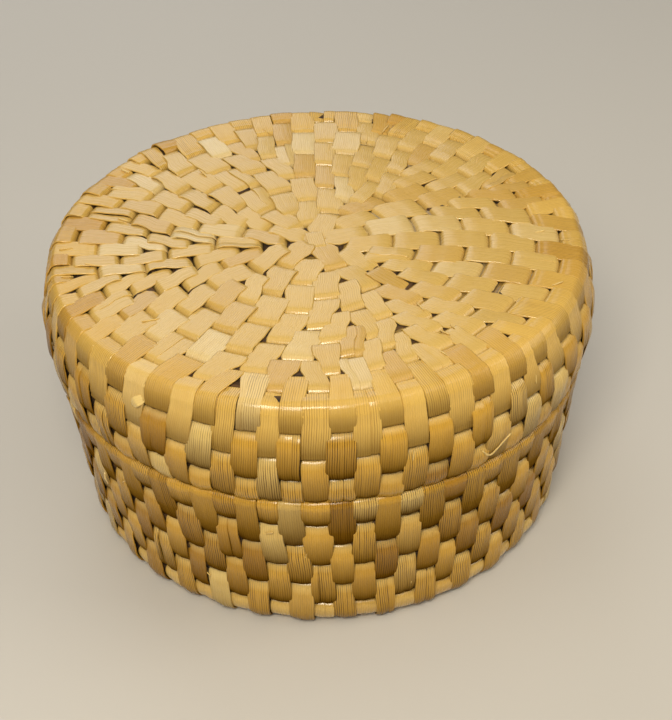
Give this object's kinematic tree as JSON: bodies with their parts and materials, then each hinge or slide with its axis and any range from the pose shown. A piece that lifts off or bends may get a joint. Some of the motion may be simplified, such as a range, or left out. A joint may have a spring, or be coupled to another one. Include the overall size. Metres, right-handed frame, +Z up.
{
  "type": "lidded round storage basket",
  "caption": "Low round storage basket of coiled grass rope lashed with flat leaf strips, with a lift-off lid that fits over an inner collar.",
  "frame": {"origin": "centre of the foot, on the surface the basket stands on", "axes": "+Z up along the basket's axis of symmetry, the way the lid lifts"},
  "size_m": [0.2384, 0.2386, 0.1265],
  "materials": {
    "rope_core": "matte",
    "top_strips": "satin",
    "wall_strips": "satin",
    "rim_wraps": "satin",
    "collar_strips": "satin"
  },
  "bodies": {
    "base": {"base_centre_knot": "rope_core", "base_bottom_coil_1": "rope_core", "base_bottom_coil_2": "rope_core", "base_bottom_coil_3": "rope_core", "base_bottom_coil_4": "rope_core", "base_bottom_coil_5": "rope_core", "base_bottom_coil_6": "rope_core", "base_bottom_coil_7": "rope_core", "base_bottom_coil_8": "rope_core", "base_foot_coil": "rope_core", "base_wall_coil_2": "rope_core", "base_wall_coil_3": "rope_core", "base_wall_coil_4": "rope_core", "base_wall_coil_5": "rope_core", "base_rim_coil": "rope_core", "collar_lower_coil": "collar_strips", "collar_upper_coil": "collar_strips", "base_wall_strips": "wall_strips", "base_rim_binding": "rim_wraps"},
    "lid": {"lid_centre_knot": "rope_core", "lid_top_coil_1": "rope_core", "lid_top_coil_2": "rope_core", "lid_top_coil_3": "rope_core", "lid_top_coil_4": "rope_core", "lid_top_coil_5": "rope_core", "lid_top_coil_6": "rope_core", "lid_top_coil_7": "rope_core", "lid_top_coil_8": "rope_core", "lid_top_coil_9": "rope_core", "lid_edge_coil": "rope_core", "lid_wall_coil_2": "rope_core", "lid_wall_coil_3": "rope_core", "lid_hem_coil": "rope_core", "lid_top_strips": "top_strips", "lid_edge_strips": "top_strips", "lid_wall_strips": "wall_strips"}
  },
  "joints": [
    {"name": "lid_lift", "type": "slide", "parent": "base", "child": "lid", "axis": [0, 0, 1], "range_m": [0, 0.12]}
  ]
}
